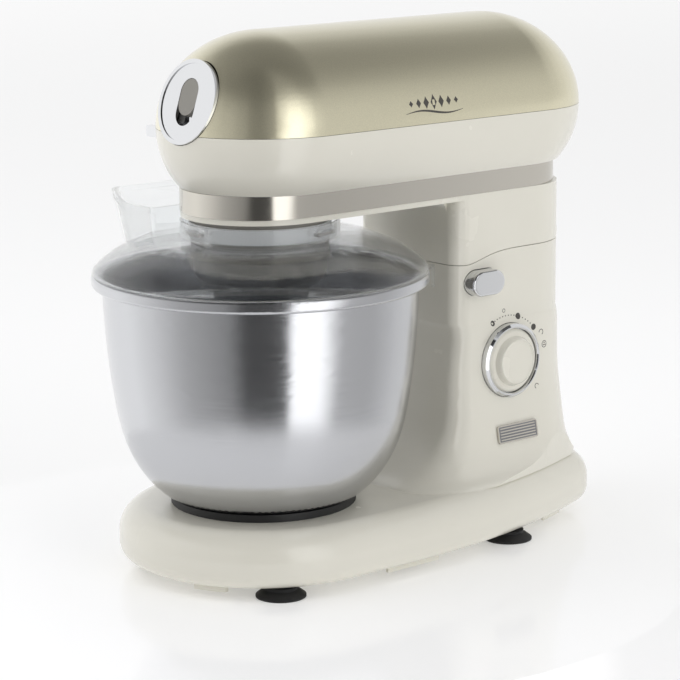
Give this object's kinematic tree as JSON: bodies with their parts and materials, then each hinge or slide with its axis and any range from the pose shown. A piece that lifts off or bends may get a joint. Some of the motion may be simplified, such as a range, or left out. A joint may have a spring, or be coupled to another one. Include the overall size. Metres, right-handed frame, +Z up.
{
  "type": "stand mixer",
  "caption": "Tilt-head stand mixer with a steel bowl, clear splash lid with feed chute, speed dial, suction feet and a planetary drive.",
  "frame": {"origin": "on the table under the middle of the mixer's bounding box", "axes": "+Z up, -Y towards the nose of the head, +X towards the speed dial"},
  "size_m": [0.2534, 0.425, 0.401],
  "materials": {
    "ivory_plastic": "moulded, satin gloss",
    "champagne_paint": "champagne metallic lacquer",
    "polished_chrome": "bright chrome plating",
    "polished_steel": "polished stainless steel",
    "band_metal": "anodised strip",
    "clear_plastic": "clear moulded plastic",
    "dark_plastic": "glass-filled, black",
    "grey_plastic": "moulded, grey",
    "hub_grey": "dark grey moulded hub",
    "rubber": "moulded rubber",
    "zinc_steel": "zinc plated",
    "ground_steel": "ground bar",
    "die_cast": "die cast",
    "lamination": "stacked electrical steel",
    "copper": "enamelled copper winding",
    "gear_nylon": "moulded nylon gear",
    "circuit_board": "glass-fibre board with parts",
    "bearing_bronze": "sintered bronze"
  },
  "bodies": {
    "stand": {"base_shell": "ivory_plastic", "base_plate": "ivory_plastic", "suction_feet": "rubber", "foot_screws": "zinc_steel", "plate_screws": "zinc_steel", "bowl_seat_ring": "dark_plastic", "stand_frame": "die_cast", "frame_screws": "zinc_steel", "hinge_pin": "ground_steel", "knob_bezel": "polished_chrome", "speed_switch": "dark_plastic", "control_board": "circuit_board", "badge_plate": "band_metal", "cable_inlet": "rubber", "release_spring": "zinc_steel", "latch_bracket": "zinc_steel", "latch_pin": "ground_steel"},
    "knob": {"speed_knob": "ivory_plastic"},
    "tilt_button": {"release_button": "polished_chrome"},
    "latch": {"latch_lever": "grey_plastic"},
    "mixing_bowl": {"bowl": "polished_steel", "bowl_foot": "polished_steel"},
    "head": {"head_top_shell": "champagne_paint", "head_lower_shell": "ivory_plastic", "side_band": "band_metal", "arm_cover": "ivory_plastic", "arm_frame": "die_cast", "gear_housing": "grey_plastic", "ring_gear": "gear_nylon", "gear_cover": "die_cast", "front_cap": "polished_chrome", "motor_stator": "lamination", "field_coils": "copper", "motor_bracket": "dark_plastic", "motor_end_bracket": "dark_plastic", "brush_holders": "dark_plastic", "drive_belt": "rubber", "shaft_bearings": "bearing_bronze", "hinge_bushes": "bearing_bronze", "latch_striker": "die_cast", "accessory_bush": "dark_plastic"},
    "lid": {"splash_lid": "clear_plastic", "feed_chute": "clear_plastic"},
    "outlet_tab": {"cap_tab": "grey_plastic"},
    "outlet_button": {"nose_button": "polished_chrome"},
    "rotor": {"motor_rotor": "lamination", "motor_shaft": "ground_steel", "commutator": "copper", "small_pulley": "die_cast", "cooling_fan": "dark_plastic"},
    "lay": {"layshaft": "ground_steel", "layshaft_pinion": "ground_steel", "large_pulley": "dark_plastic"},
    "planet_hub": {"output_shaft": "ground_steel", "output_gear": "gear_nylon", "planet_carrier": "hub_grey"},
    "tool_spindle": {"planet_pinion": "ground_steel", "tool_shaft": "ground_steel", "tool_cross_pin": "ground_steel"},
    "outlet_shaft": {"accessory_shaft": "ground_steel"}
  },
  "joints": [
    {"name": "head_tilt", "type": "hinge", "parent": "stand", "child": "head", "pos_m": [0, 0.1745, 0.226], "axis": [-1, 0, 0], "range_deg": [0, 35]},
    {"name": "speed_dial", "type": "hinge", "parent": "stand", "child": "knob", "pos_m": [0.06, 0.1085, 0.137], "axis": [-1, 0, 0], "range_deg": [-27, 140]},
    {"name": "tilt_release", "type": "slide", "parent": "stand", "child": "tilt_button", "axis": [-1, 0, 0], "range_m": [0, 0.005], "stiffness_N_per_m": 900, "springref_m": -0.002, "deforming": ["release_spring"]},
    {"name": "latch_rock", "type": "hinge", "parent": "stand", "child": "latch", "pos_m": [0.027, 0.0805, 0.204], "axis": [0, 1, 0], "range_deg": [0, 28]},
    {"name": "bowl_twist", "type": "hinge", "parent": "stand", "child": "mixing_bowl", "pos_m": [0, -0.0875, 0.052], "axis": [0, 0, 1], "range_deg": [0, 20]},
    {"name": "lid_twist", "type": "hinge", "parent": "head", "child": "lid", "pos_m": [0, -0.0875, 0.256], "axis": [0, 0, 1], "range_deg": [0, 25]},
    {"name": "outlet_tab_slide", "type": "slide", "parent": "head", "child": "outlet_tab", "axis": [0, -0.309, -0.9511], "range_m": [0, 0.006]},
    {"name": "outlet_button_press", "type": "slide", "parent": "head", "child": "outlet_button", "axis": [1, 0, 0], "range_m": [0, 0.003], "stiffness_N_per_m": 600, "springref_m": -0.001},
    {"name": "motor_spin", "type": "hinge", "parent": "head", "child": "rotor", "pos_m": [0, 0.0625, 0.32], "axis": [0, 0, 1], "continuous": true},
    {"name": "layshaft_spin", "type": "hinge", "parent": "head", "child": "lay", "pos_m": [0, -0.0305, 0.32], "axis": [0, 0, 1], "continuous": true},
    {"name": "hub_spin", "type": "hinge", "parent": "head", "child": "planet_hub", "pos_m": [0, -0.0875, 0.3], "axis": [0, 0, 1], "continuous": true},
    {"name": "tool_spin", "type": "hinge", "parent": "planet_hub", "child": "tool_spindle", "pos_m": [0.024, -0.0875, 0.23], "axis": [0, 0, 1], "continuous": true},
    {"name": "outlet_spin", "type": "hinge", "parent": "head", "child": "outlet_shaft", "pos_m": [0, -0.13939, 0.34937], "axis": [0, -0.9511, 0.309], "continuous": true}
  ],
  "couplings": [
    {"joint": "latch_rock", "follows": "tilt_release", "rad_per_m": 97.738},
    {"joint": "layshaft_spin", "follows": "motor_spin", "ratio": 0.26471},
    {"joint": "hub_spin", "follows": "motor_spin", "ratio": -0.049632},
    {"joint": "tool_spin", "follows": "motor_spin", "ratio": 0.1489},
    {"joint": "outlet_spin", "follows": "motor_spin", "ratio": -0.16061}
  ]
}
